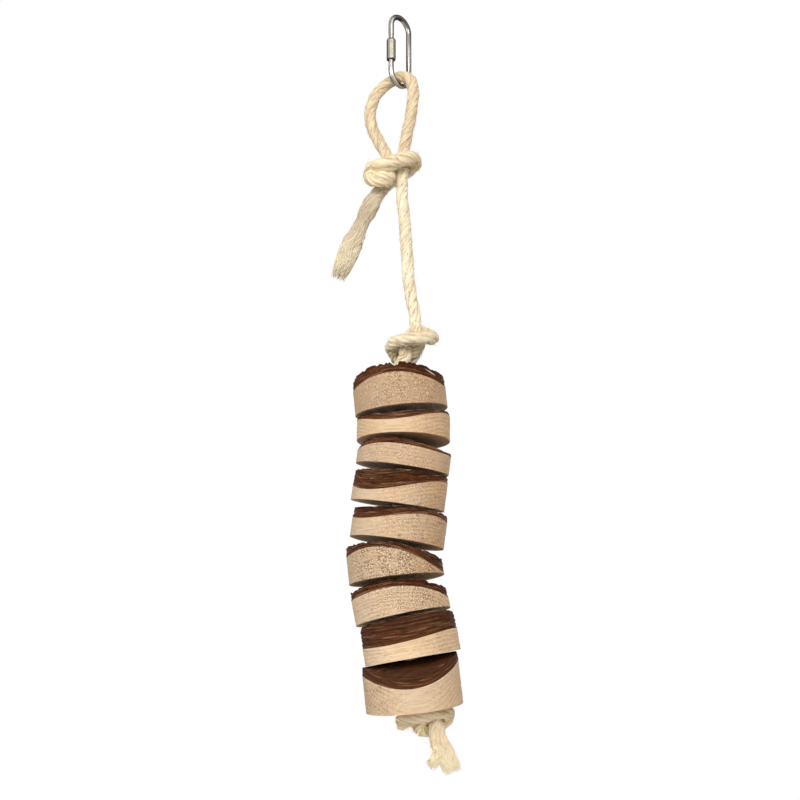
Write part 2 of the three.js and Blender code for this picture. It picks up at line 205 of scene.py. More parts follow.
def plated_steel(name, bright, tarnish_and_dark_reflection):
    """Plated steel: bright and dark streaks drawn out along it, partly tarnish and partly painted
    reflection, fine marks and small pits, and a painted dark reflection down each edge of its left and right
    flanks and over its top bend, which leaves a painted highlight down the middle of each flank."""
    material, paint = new_paint(name)
    place = attribute(paint, "wire_place", "Vector")
    flank = attribute(paint, "flank")
    marks = noise(place, (60, 2600, 2600), 3.0, 0.6)
    streaks = noise(place, (24, 620, 620))
    cloud = noise(place, (160, 300, 300), 3.0)
    pits = noise(place, (1500, 1500, 1500))
    # Painted dark reflection in bands beside the middle of each left and right flank and over the top bend.
    # The very middle of a flank is held clear and stays as a painted highlight.
    dark = span(flank + (streaks - 0.5) * 0.5, 0.48, 0.82) * span(flank, 0.99, 0.93)
    # Bright and dark streaks along the wire, partly tarnish and partly painted reflection.
    base = coats(
        tarnish_and_dark_reflection,
        (span(streaks, 0.38, 0.6), bright),
        (span(streaks, 0.42, 0.3) * 0.8, (0.06, 0.055, 0.05)),
        (span(marks, 0.55, 0.75) * 0.25, (0.16, 0.15, 0.135)),
        (span(pits, 0.68, 0.8) * 0.35, (0.1, 0.09, 0.08)),
        # Painted dark reflection.
        (dark * 0.9, (0.04, 0.036, 0.032)))
    rough = span(cloud, 0.3, 0.75, 0.12, 0.27) + marks * 0.08
    seal(paint, base, rough, marks - pits * 0.5, 0.00004, 0.3, 1.0,
         **{"Specular Tint": (0.3, 0.28, 0.26, 1.0)})
    return material


def link_wire(material):
    """A round section carried along the open oval: half circles at the ends, straight legs between.
    Near each end of the wire a thread ripples its radius."""
    bend = LINK_HALF + WIRE_RADIUS
    high, low = -LINK_HALF, LINK_HALF - LINK_LENGTH
    half = np.linspace(np.pi, 0, 60)

    def leg(side, heights):
        return np.stack([np.full(len(heights), side), heights], axis=1)

    over = np.stack([bend * np.cos(half), high + bend * np.sin(half)], axis=1)
    beneath = np.stack([bend * np.cos(half[::-1]), low - bend * np.sin(half)], axis=1)
    flat = np.concatenate([leg(-bend, np.linspace(GAP_TOP, high, 90, endpoint=False)), over,
                           leg(bend, np.linspace(high, low, 42)[1:-1]), beneath,
                           leg(-bend, np.linspace(low, GAP_BOTTOM, 61)[1:])])
    run = run_along(flat)
    inside = np.minimum(run, run[-1] - run)
    thread = THREAD_DEPTH / 2 * (np.cos(2 * np.pi * inside / THREAD_PITCH) - 1)
    thread = np.where(inside < THREAD_LENGTH, thread, 0.0)
    ends = END_CHAMFER * np.clip(1 - inside / END_CHAMFER_LENGTH, 0, 1)
    path = flat[:, :1] * LINK_WAY + flat[:, 1:] * (0.0, 0.0, 1.0)
    across = np.array([-LINK_WAY[1], LINK_WAY[0], 0.0])
    inward = np.cross(unit(np.gradient(path, axis=0)), across)
    angle = full_turn(WIRE_SIDES)
    radius = (WIRE_RADIUS + thread - ends)[:, None]
    skin = (path[:, None] + across * (radius * np.cos(angle))[..., None]
            + inward[:, None] * (radius * np.sin(angle))[..., None])
    place = points_from(run[:, None], WIRE_RADIUS * np.cos(angle), WIRE_RADIUS * np.sin(angle))
    aside = np.abs(skin - path[:, None]) / radius[..., None]
    # The left and right flanks and the top bend are where the painted dark reflection falls.
    top_bend = np.clip(1 + flat[:, 1:] / LINK_HALF, 0, 1) ** 0.5 * np.clip(0.9 - flat[:, :1] / bend, 0, 1)
    flank = np.maximum(aside[..., 0], top_bend * (0.68 + 0.18 * aside[..., 2]))
    return put_mesh("link_wire", skin, tube_faces(len(path), WIRE_SIDES), material,
                    {"wire_place": place * MM, "flank": flank})


link_piece = link_wire(plated_steel("plated_steel", (0.7, 0.67, 0.62), (0.2, 0.19, 0.18)))
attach(link_piece, "link")
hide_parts("quick_link")


# Sleeve nut
# A hexagonal sleeve of plated steel, turned down to short cones at its ends. It is screwed down over
# the link's gap, and it is screwed up the near leg to open the link.

NUT_FLATS = 4.6
NUT_LENGTH = 12.6
NUT_BOTTOM = GAP_BOTTOM - 2.5
NUT_BORE = 1.8
NUT_SIDES = 96
NUT_CHAMFER = 0.12
CONE_SLOPE, CONE_LENGTH = 0.7, 0.7
BORE_RIPPLE, MOUTH_FLARE, MOUTH_LENGTH = 0.06, 0.25, 0.5


def ring_points(out, angle, up):
    """Points from their distance and angle round an upright axis and their height."""
    return points_from(out * np.cos(angle), out * np.sin(angle), up)


def sleeve_nut(material):
    """A hexagon drawn along the leg: its radius at an angle is the flat's distance over the cosine
    from the flat, held to a cone at each end. Rows run up the outside and down the bore."""
    angle = full_turn(NUT_SIDES)
    hexagon = NUT_FLATS / 2 / np.cos(np.mod(angle, np.pi / 3) - np.pi / 6)
    hexagon = np.minimum(hexagon, NUT_FLATS / 2 / math.cos(math.pi / 6) - NUT_CHAMFER)
    up = np.array([0.0, 0.02, 0.12, 0.3, 0.55, 0.8, 2.0, 4.0, NUT_LENGTH / 2])
    up = np.concatenate([up, NUT_LENGTH - up[-2::-1]])[:, None]
    cone = NUT_FLATS / 2 - NUT_CHAMFER + CONE_SLOPE * np.minimum(up, NUT_LENGTH - up)
    down = np.linspace(NUT_LENGTH, 0, 30)[:, None]
    mouth = np.clip(1 - np.minimum(down, NUT_LENGTH - down) / MOUTH_LENGTH, 0, 1)
    bore = NUT_BORE + BORE_RIPPLE * np.cos(2 * np.pi * down / THREAD_PITCH) + MOUTH_FLARE * mouth
    radius = np.concatenate([np.minimum(hexagon, cone), bore + 0 * angle])
    height = np.concatenate([up, down])
    leg = -LINK_WAY * (LINK_HALF + WIRE_RADIUS)
    turned = angle + LINK_TURN
    skin = ring_points(radius, turned, NUT_BOTTOM + height) + leg
    place = points_from(height, radius * np.cos(angle), radius * np.sin(angle))
    # The faces turned left and right and the end cones are where the painted dark reflection falls.
    on_cone = np.where(np.minimum(height, NUT_LENGTH - height) < CONE_LENGTH, 0.8, 0.0)
    flank = np.maximum(0.9 * np.abs(np.cos(turned)), on_cone)
    return put_mesh("sleeve_nut", skin, grid_quads(*radius.shape, round_rows=True), material,
                    {"wire_place": place * MM, "flank": flank})


nut_piece = sleeve_nut(plated_steel("plated_nut", (0.72, 0.67, 0.55), (0.36, 0.33, 0.26)))
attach(nut_piece, "nut")
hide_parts("quick_link_nut")


# Rope loop, loop knot and tail
# The top of a length of undyed three-strand sisal, passed through the link, hitched round both legs
# of its own loop and pulled tight. Its end is left long and has come unlaid.

ROPE_RADIUS = 3.25
ROPE_LAY = 42.0
ROPE_SIDES = 72
ROPE_STEP, FRAY_STEP = 0.5, 0.6
YARN_LAY = 9.0
CURVE_STEPS = 40
FIBRE_SIDES, STRAY_STEPS, FRAY_FIBRE_STEPS = 3, 6, 11
OPEN_FLAT, FRAY_FLAT = 0.3, 0.72
LONG_SHARE, ROOT_SHARE = 0.12, 0.88
SOILED_FROM, SOILED_OVER = -95.0, 20.0
TAIL_OPEN = ([0, 36, 52], [1, 1, 0])
# Painted shade under the loop knot along the loop's tail: distances along the rope and shares.
TAIL_SHADE = ([10, 30, 56, 62], [0.3, 1, 1, 0])
LOOP_OVERLAP = 4.0
LINK_FREE = -44.0
LOOP_ROUTE = [
    (-32.2, 0.4, -148.6, 0.7), (-31.5, 0.5, -146.8, 1.02), (-29.9, 0.6, -142.8, 1.42),
    (-27.6, 0.9, -136.6, 1.7), (-25, 1.2, -129.8, 1.68), (-22.4, 1.5, -123.6, 1.3),
    (-20.4, 1.8, -118.8, 1.18), (-17.8, 2.1, -113.2, 1.42), (-15.2, 2.7, -107.6, 1.48),
    (-12.6, 3.8, -102.6, 1.22), (-8.6, 6, -96, 1.22), (-3.2, 7.5, -91.2, 1.26), (3, 7.2, -87.8, 1.16),
    (7.6, 2.8, -84.8, 1.2), (7.4, -3.2, -84.4, 1.22), (2.6, -7, -86, 1.26), (-4, -7.6, -88.3, 1.32),
    (-10.4, -6.8, -90, 1.32), (-14.8, -4.5, -90.7, 1.24), (-16.3, -2.4, -93.6, 1.24),
    (-13.9, -3.8, -96.2, 1.3), (-10.4, -5, -96.6, 1.36), (-6.8, -3.2, -95.2, 1.34),
    (-5.7, -0.4, -92.2, 1.14), (-5.6, 0.6, -87.4, 1.04), (-6.8, 1, -82, 1), (-9, 1.6, -76.6, 1),
    (-12, 2.6, -70.6, 1), (-15.2, 4.2, -62.8, 1), (-16.4, 5, -55, 1), (-15.4, 5, -48, 1),
    (-12.6, 4.4, -42.2, 1), (-8.4, 3.6, -37.6, 1), (-4, 2.2, -35.2, 1), (0, 0, -34.3, 1),
    (4, -2.2, -35.6, 1), (6.6, -3.4, -39.6, 1), (7.2, -3.8, -45, 1), (6.9, -3.5, -51, 1),
    (6, -3, -58, 1), (4.4, -2, -66, 1), (2.6, -0.8, -75, 1), (1.7, -0.2, -82, 0.96), (1.5, -0.1, -87, 0.8),
]
LOOP_FRAY = [
    (-20.4, 1.8, -118.8, 1.16), (-22.4, 1.5, -123.6, 1.28), (-25, 1.2, -129.8, 1.66),
    (-27.6, 0.9, -136.6, 1.72), (-30.1, 0.6, -143.2, 1.5), (-31.8, 0.4, -147.6, 1.25),
    (-33.2, 0.3, -151.4, 1.1),
]


def ripple(seed, *ways):
    """Smooth noise from -1 to 1: a sum of eight sine waves in seeded directions and phases."""
    pick = np.random.default_rng(seed)
    total = 0.0
    for _ in range(8):
        turn = pick.uniform(-1.0, 1.0, len(ways))
        turn = turn / np.linalg.norm(turn) * pick.uniform(0.6, 1.9)
        phase = pick.uniform(0.0, 2 * np.pi)
        total = total + np.sin(sum(way * rate for way, rate in zip(ways, turn)) + phase)
    return total / 4.5


def smooth_route(rows, step):
    """Points at even steps on the centripetal curve through the rows, with the thickness carried."""
    rows = np.asarray(rows, dtype=float)
    line = rows[:, :3]
    line = np.concatenate([2 * line[:1] - line[1:2], line, 2 * line[-1:] - line[-2:-1]])
    before, start, end, after = (line[k:len(line) - 3 + k, None] for k in range(4))

    def pace(first, second):
        return np.sqrt(np.linalg.norm(second - first, axis=-1, keepdims=True))

    one, two, three = pace(before, start), pace(start, end), pace(end, after)
    leave = ((start - before) / one - (end - before) / (one + two) + (end - start) / two) * two
    arrive = ((end - start) / two - (after - start) / (two + three) + (after - end) / three) * two
    at = np.linspace(0, 1, CURVE_STEPS, endpoint=False)[None, :, None]
    curve = (start + leave * at + (3 * (end - start) - 2 * leave - arrive) * at ** 2
             + (2 * (start - end) + leave + arrive) * at ** 3).reshape(-1, 3)
    curve = np.concatenate([curve, rows[-1:, :3]])
    thick = np.interp(np.arange(len(curve)) / CURVE_STEPS, np.arange(len(rows)), rows[:, 3])
    run = run_along(curve)
    even = np.linspace(0, run[-1], int(run[-1] / step) + 2)
    points = np.stack([np.interp(even, run, curve[:, k]) for k in range(3)], axis=1)
    return points, np.interp(even, run, thick), even


def carried_frame(points):
    """Tangent and two side directions that don't twist along the path: a fixed direction squared to
    the path, turned back by the running sum of its own twist."""
    tangent = unit(np.gradient(points, axis=0))
    fixed = np.array([0.37, 0.82, 0.43])
    side = unit(fixed - (tangent @ fixed)[:, None] * tangent)
    other = np.cross(tangent, side)
    bend = np.cross(tangent[:-1], tangent[1:])
    straight = 1 + (tangent[:-1] * tangent[1:]).sum(1, keepdims=True)
    moved = side[:-1] + np.cross(bend, side[:-1]) + np.cross(bend, np.cross(bend, side[:-1])) / straight
    twist = np.arctan2((moved * other[1:]).sum(1), (moved * side[1:]).sum(1))
    turn = np.concatenate([[0], np.cumsum(twist)])[:, None]
    first = side * np.cos(turn) + other * np.sin(turn)
    return tangent, first, np.cross(tangent, first)


def sisal():
    """Cream fibres along each strand, with painted honey brown shade in the creases between strands, brown
    flecks and paler locks. Unlaid fibres are paler and yellower, and the laid body of an unlaid end is
    darker and greyer. In knots and tight bends the creases get deeper painted shade, and paler locks and a
    warm tint are painted light. The loop's long tail is greyer with painted shade under the loop knot."""
    material, paint = new_paint("sisal")
    strand = attribute(paint, "strand", "Vector")
    groove, worn, loose, soiled, tied, tail_shade = (attribute(paint, name) for name in (
        "groove", "worn", "loose", "soiled", "tied", "tail_shade"))
    fibres = noise(strand, (75, 1500, 0), 4.0, 0.7)
    locks = noise(strand, (45, 620, 0), 3.0, 0.6)
    patches = noise(strand, (80, 70, 0), 3.0)
    flecks = noise(strand, (260, 1300, 0), 2.0, 0.6)
    base = coats(
        (0.72, 0.58, 0.36),
        (span(fibres, 0.34, 0.6), (0.97, 0.88, 0.67)),
        (span(locks, 0.48, 0.68) * 0.65, (0.985, 0.93, 0.77)),
        (span(locks, 0.46, 0.3) * 0.5, (0.68, 0.51, 0.29)),
        (span(patches, 0.5, 0.72) * 0.25, (0.78, 0.6, 0.35)),
        # Painted honey brown shade in the creases between strands.
        (span(groove, 0.5, 0.0) * 0.24, (0.5, 0.34, 0.17)),
        (span(flecks, 0.58, 0.67) * 0.7, (0.45, 0.29, 0.135)),
        (worn * 0.5, (0.9, 0.8, 0.59)),
        (loose * 0.8, (0.985, 0.89, 0.66)),
        # In knots and tight bends: deeper painted shade in the creases and brown fibre streaks, then paler
        # locks and a warm tint, which are painted light.
        (span(groove, 0.62, 0.1) * tied * 0.34, (0.56, 0.37, 0.185)),
        (span(fibres, 0.47, 0.34) * tied * 0.45, (0.64, 0.45, 0.24)),
        (span(locks, 0.5, 0.62) * tied * 0.6, (1.0, 0.95, 0.8)),
        (tied, (1.0, 0.955, 0.875), "MULTIPLY"),
        # The laid body of an unlaid end is made darker and greyer.
        (worn * (1.0 - loose), (0.8, 0.745, 0.7), "MULTIPLY"),
        (soiled, (0.86, 0.8, 0.735), "MULTIPLY"),
        # Painted shade along the loop's long tail, under the loop knot.
        (tail_shade, (0.72, 0.7, 0.7), "MULTIPLY"))
    height = (fibres * 0.9 + locks * 0.8 - span(flecks, 0.56, 0.72) * 0.4) * (1.0 - loose)
    seal(paint, base, span(fibres, 0.2, 0.8, 0.9, 0.7), height, 0.0006, 0.95,
         **{"Specular IOR Level": 0.2, "Sheen Weight": 0.2, "Sheen Roughness": 0.5})
    return material


def soil(height):
    """How soiled the rope is at a height: an even rise from none to all of it at the loop knot."""
    return np.clip((height - SOILED_FROM) / SOILED_OVER, 0, 1)


def laid_rope(name, points, thick, run, material, opened, start=0.0, crest=None, tail_shade=0.0):
    """Three strands laid round each other: at each step the section is the outline of three round
    strands, turned by the lay, with fine ridges for the yarns. In tight bends the strands stand apart
    and swell. Where the rope has opened, the lay slows, the strands fade and flat locks of fibre take
    their place. Returns the piece and the way that its first strand faces at its far end."""
    tangent, first, second = carried_frame(points)
    bend = np.linalg.norm(np.gradient(tangent, axis=0), axis=1) / np.gradient(run)
    slack = np.clip(np.convolve(bend, np.ones(15) / 15, "same") * 10.0 - 0.4, 0, 1)[:, None]
    angle = full_turn(ROPE_SIDES)
    along = run[:, None] + start
    opened = opened[:, None]
    wobble = 0.25 * np.sin(along * 0.21) + 0.2 * np.sin(along * 0.083 + 1.0)
    lay = np.cumsum(2 * np.pi / ROPE_LAY * (1 - 0.7 * opened) * np.gradient(run)[:, None], axis=0)
    lay = lay - lay[0] + wobble - wobble[0]
    if crest is not None:
        lay = lay + math.atan2(crest @ second[0], crest @ first[0])
    third = 2 * np.pi / 3
    ahead = angle - lay + third / 2
    lobe = np.mod(ahead, third) - third / 2
    centre = (0.18 + 0.11 * slack) * (1 - 0.6 * opened)
    strand = 1 - centre
    out = centre * np.cos(lobe) + np.sqrt(strand ** 2 - (centre * np.sin(lobe)) ** 2)
    least = centre * 0.5 + np.sqrt(strand ** 2 - 0.75 * centre ** 2)
    groove = 1 - (1 - np.clip((out - least) / (1 - least), 0, 1)) * (1 - 0.7 * opened)
    which = np.floor(np.mod(ahead, 2 * np.pi) / third)
    round_strand = np.arctan2(out * np.sin(lobe), out * np.cos(lobe) - centre)
    yarn = np.cos(5 * round_strand - 2 * np.pi * along / YARN_LAY + which * 2.1)
    lock = np.sin(6 * angle + 1.4 * np.sin(along * 0.33)) + np.sin(10 * angle - along * 0.22 + 2.0)
    tuft = ripple(17, along * 1.1, round_strand * 4.0 + which * 5.0)
    swell = 0.09 * slack * ripple(19, along * 0.55, which * 3.0)
    uneven = (0.03 + 0.04 * slack) * yarn + (0.022 + 0.05 * slack) * tuft
    uneven = (uneven + 0.025 * np.sin(along * 0.9 + which * 2.0) + swell) * groove
    out = out * (1 + uneven + 0.04 * opened * lock) * (ROPE_RADIUS * thick[:, None])
    offset = (first[:, None] * (out * np.cos(angle))[..., None]
              + second[:, None] * (out * np.sin(angle))[..., None])
    offset[..., 1] *= 1 - OPEN_FLAT * opened
    fibre = points_from(along, round_strand * 1.7 + which * 9 - along * 0.16, 0.0)
    carried = {"strand": fibre * MM, "groove": groove, "worn": opened, "soiled": soil(points[:, 2:]),
               "tied": slack, "tail_shade": np.reshape(tail_shade, (-1, 1)), "loose": 0.0}
    piece = put_mesh(name, points[:, None] + offset, tube_faces(*out.shape), material, carried)
    return piece, first[-1] * math.cos(lay[-1, 0]) + second[-1] * math.sin(lay[-1, 0])


def bundle(name, paths, radius, material, worn=0.0, tail_shade=0.0):
    """Many thin tapering three-sided fibres, each a section carried along its own path: paths is
    fibres by steps by three, and radius is fibres by steps."""
    tubes, steps, _ = paths.shape
    tangent = unit(np.gradient(paths, axis=1))
    side = unit(np.cross(tangent, np.array([0.31, 0.9, 0.29])))
    other = np.cross(tangent, side)
    angle = full_turn(FIBRE_SIDES)[0]
    ring = side[:, :, None] * np.cos(angle)[:, None] + other[:, :, None] * np.sin(angle)[:, None]
    skin = paths[:, :, None] + ring * radius[:, :, None, None]
    begin = (np.arange(tubes) * steps * FIBRE_SIDES)[:, None]
    cap = np.arange(FIBRE_SIDES)
    quads = (grid_quads(steps, FIBRE_SIDES) + begin[..., None]).reshape(-1, 4)
    far_caps = cap + begin + (steps - 1) * FIBRE_SIDES
    faces = quads.tolist() + (cap[::-1] + begin).tolist() + far_caps.tolist()
    beside = np.arange(tubes)[:, None, None] * 3.1 + angle * 0.4
    fibre = points_from(run_along(paths)[:, :, None], beside, 0.0)
    carried = {"strand": fibre * MM, "groove": 0.8, "worn": worn, "soiled": soil(skin[..., 2]),
               "tail_shade": tail_shade, "loose": 1.0}
    return put_mesh(name, skin, faces, material, carried)


def stray_fibres(name, points, thick, count, seed, material, free):
    """Loose fibres that lift off the rope where it is free: short arcs along the rope that rise from its
    surface as a power of the way along them. One in eight is longer and stands off further."""
    pick = np.random.default_rng(seed)
    tangent, first, second = carried_frame(points)
    spots = np.flatnonzero(free)[4:-4]
    at = spots[pick.integers(0, len(spots), count)]
    angle = pick.uniform(0, 2 * np.pi, count)
    outward = first[at] * np.cos(angle)[:, None] + second[at] * np.sin(angle)[:, None]
    sideways = np.cross(tangent[at], outward)
    way = np.where(pick.random(count) < 0.5, -1.0, 1.0)[:, None] * tangent[at]
    way = way + sideways * pick.uniform(-0.6, 0.6, count)[:, None]
    long = pick.random(count) < LONG_SHARE
    length = np.where(long, pick.uniform(4.0, 8.0, count), pick.uniform(1.5, 4.5, count))
    lift = np.where(long, pick.uniform(0.8, 2.2, count), pick.uniform(0.2, 1.0, count))
    along = np.linspace(0, 1, STRAY_STEPS)[None, :, None]
    base = points[at] + outward * (ROPE_RADIUS * thick[at] * ROOT_SHARE)[:, None]
    paths = (base[:, None] + way[:, None] * along * length[:, None, None]
             + outward[:, None] * lift[:, None, None] * along ** 1.6)
    radius = pick.uniform(0.05, 0.12, count)[:, None] * (1 - 0.7 * along[..., 0])
    return bundle(name, paths, radius, material)


def frayed_end(name, rows, count, seed, material, inner, tail_shade=0.0):
    """An unlaid end: fibres spaced over the section of the route, from an inner share of its radius to
    just outside it, that follow the route to uneven tips with a slow waver."""
    pick = np.random.default_rng(seed)
    points, thick, _ = smooth_route(rows, FRAY_STEP)
    _, first, second = carried_frame(points)

    def each(low, high):
        return pick.uniform(low, high, count)[:, None]

    angle = each(0, 2 * np.pi)
    out = each(inner, 1.0)
    begin = each(0.0, 0.5)
    reach = np.minimum(begin + each(0.5, 1.0), each(0.84, 1.0))
    way = np.linspace(0, 1, FRAY_FIBRE_STEPS)[None, :]
    at = begin + way * (reach - begin)
    place = at * (len(points) - 1)
    low = np.clip(np.floor(place).astype(int), 0, len(points) - 2)
    part = (place - low)[..., None]

    def between(values):
        return values[low] * (1 - part) + values[low + 1] * part

    lift = way ** 2 * each(-0.06, 0.14)
    width = between(thick[:, None])[..., 0] * ROPE_RADIUS * (out + lift)
    turn = angle + 0.5 * at + 0.25 * np.sin(at * each(5, 14) + angle)
    spread = between(first) * np.cos(turn)[..., None] + between(second) * np.sin(turn)[..., None]
    offset = width[..., None] * spread
    offset[..., 1] *= FRAY_FLAT
    radius = each(0.09, 0.24) * (1 - 0.7 * way ** 2)
    return bundle(name, between(points) + offset, radius, material, 1.0, tail_shade)


sisal_finish = sisal()
points, thick, run = smooth_route(LOOP_ROUTE, ROPE_STEP)
loop_rope, crest = laid_rope("loop_rope", points, thick, run, sisal_finish, np.interp(run, *TAIL_OPEN),
                             tail_shade=np.interp(run, *TAIL_SHADE))
rope_so_far = run[-1] - LOOP_OVERLAP
loop_fibres = stray_fibres("loop_rope_fibres", points, thick, 2000, 7, sisal_finish,
                           points[:, 2] < LINK_FREE)
# The loop's fray takes a little of the painted tail shade.
loop_fray = frayed_end("loop_fray", LOOP_FRAY, 620, 12, sisal_finish, 0.72, 0.3)
for piece in (loop_rope, loop_fibres, loop_fray):
    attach(piece, "loop")
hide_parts("rope_loop", "loop_knot", "loop_tail")


# Hanging cord
# The same rope, running straight from the loop knot down to the stopper knot over the slices. Here it is a
# stretch that bends a little just under the loop knot and ends inside the stopper knot.

CORD_OVERLAP = 2.4
CORD_FREE_TOP, CORD_FREE_FOOT = -110.0, -165.0
CORD_ROUTE = [
    (1.55, -0.1, -83, 0.9), (1.4, 0, -88, 0.95), (1.2, 0, -95, 1), (1.1, 0, -103.5, 1), (1.2, 0, -105.5, 1),
    (1.9, 0, -112, 1), (2.6, 0, -121, 1), (3.3, 0, -131, 1), (4, 0, -141, 1), (4.6, 0, -151, 1),
    (5.8, 0, -161, 1), (7.2, -0.4, -168, 1), (7.8, -0.9, -172.6, 1), (7.95, -1.05, -174.6, 1),
    (8, -1.1, -177.4, 0.92),
]
points, thick, run = smooth_route(CORD_ROUTE, ROPE_STEP)
hanging_rope, crest = laid_rope("hanging_rope", points, thick, run, sisal_finish, 0 * run,
                                rope_so_far, crest)
rope_so_far = rope_so_far + run[-1] - CORD_OVERLAP
free = (points[:, 2] < CORD_FREE_TOP) & (points[:, 2] > CORD_FREE_FOOT)
hanging_fibres = stray_fibres("hanging_rope_fibres", points, thick, 700, 6, sisal_finish, free)
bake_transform(hanging_rope)
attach(hanging_fibres, "cord")
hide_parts("hanging_cord")


# Wood slices
# Nine plugs of raw softwood, sawn through the bark side of small logs with one hole saw and drilled
# for the rope. The sawn face is below, and the log's rounded outside, under its bark, is on top.

SLICE_RADIUS = 24.0
BORE_RADIUS = 5.0
FACE_EDGE = 23.5
WOOD_LEAST = 0.9
FACE_RIPPLE, SIDE_RIPPLE = 0.05, 0.07
WOOD_SIDES = 200
WOOD_SEED = 40
# Millimetres and degrees. Wood and bark are each a crown's height, radius and offset.
# The second last field is the strength of the painted side light on each slice.
SLICE_FIELDS = ("at", "lean", "rise", "fall", "slope", "wood", "bark", "tone", "pores", "rough_side",
                "painted_side_light", "ruddy")
SLICES = [dict(zip(SLICE_FIELDS, row)) for row in (
    ((0.8, 0.4, -223.4), -5.7, -2.4, -5, 0.0,
     (16.8, 50, -2.4), (22.4, 54, -3.0), 0.04, 1.1, -60, 0.5, 0.8),
    ((1.7, 0, -239.01), 0.6, 0.6, -102, 0.047,
     (11.7, 44, 3.2), (13.6, 115, -2.7), 0.66, 0.5, -20, 0.5, 0.7),
    ((1.1, 0.4, -253.44), 7.9, -4.0, -29, -0.007,
     (10.2, 110, 10.2), (13.4, 61, 5.6), 0.28, 0.7, -100, 0.6, 0.1),
    ((-1.3, 0.7, -272.15), 7.6, -4.6, -129, 0.04,
     (13.6, 70, -10.3), (17.2, 163, 1.2), 0.52, 0.7, -30, 1, 0.2),
    ((-1.7, 0.2, -291.05), 8.1, -1.2, -142, 0.0,
     (14.3, 63, -3.1), (16.9, 148, -3.8), 0.38, 0.9, -45, 1, 0.1),
    ((-1.6, -0.1, -309.6), -6.5, 0.9, -6, 0.01,
     (15.5, 40, -10.6), (18.9, 80, -18), 0.38, 2.1, -52, 1.4, 0.35),
    ((1.7, -0.2, -327.96), -11.3, 1.5, 10, 0.026,
     (14.1, 62, -11.4), (18, 74, -11.8), 0.68, 1.2, -45, 0.8, 0.1),
    ((6.5, 0.3, -347.76), -10.1, -2, -104, 0.045,
     (9.6, 138, 4.2), (20.3, 77, 19.5), 0.98, 0.5, -20, 0.5, 0.1),
    ((7.2, 1.2, -371.66), -6.2, -6.5, -86, 0.066,
     (20.1, 41, -2.3), (22.7, 52, -0.5), 0.48, 1, -170, 0, 0),
)]


def crown(shape, across):
    """Height of a log's rounded surface: a crown that falls off as the square of the way across."""
    height, radius, offset = shape
    return height - (across - offset) ** 2 / (2 * radius)


def log_ways(one, out, angle):
    """The ways along and across the log of a point given by its distance and angle from the bore."""
    turned = angle - np.radians(one["fall"])
    return out * np.sin(turned), out * np.cos(turned)


def log_top(one, layer, out, angle):
    """Height of a layer of the log: its crown, sloping evenly along the log."""
    along, across = log_ways(one, out, angle)
    return crown(one[layer], across) + one["slope"] * along


def wood_top(one, out, angle):
    """Height of the wood's top, which is held to a least height over the sawn face."""
    return np.maximum(log_top(one, "wood", out, angle), WOOD_LEAST)


def set_on_rope(one, local):
    """Points of a slice turned from upright to its lean and moved to its place on the rope."""
    normal = np.array([np.sin(np.radians(one["lean"])), np.sin(np.radians(one["rise"])), 0.0])
    normal[2] = np.sqrt(1 - normal @ normal)
    cross = np.array([[0, 0, normal[0]], [0, 0, normal[1]], [-normal[0], -normal[1], 0]])
    turn = np.eye(3) + cross + cross @ cross / (1 + normal[2])
    return local @ turn.T + np.array(one["at"])


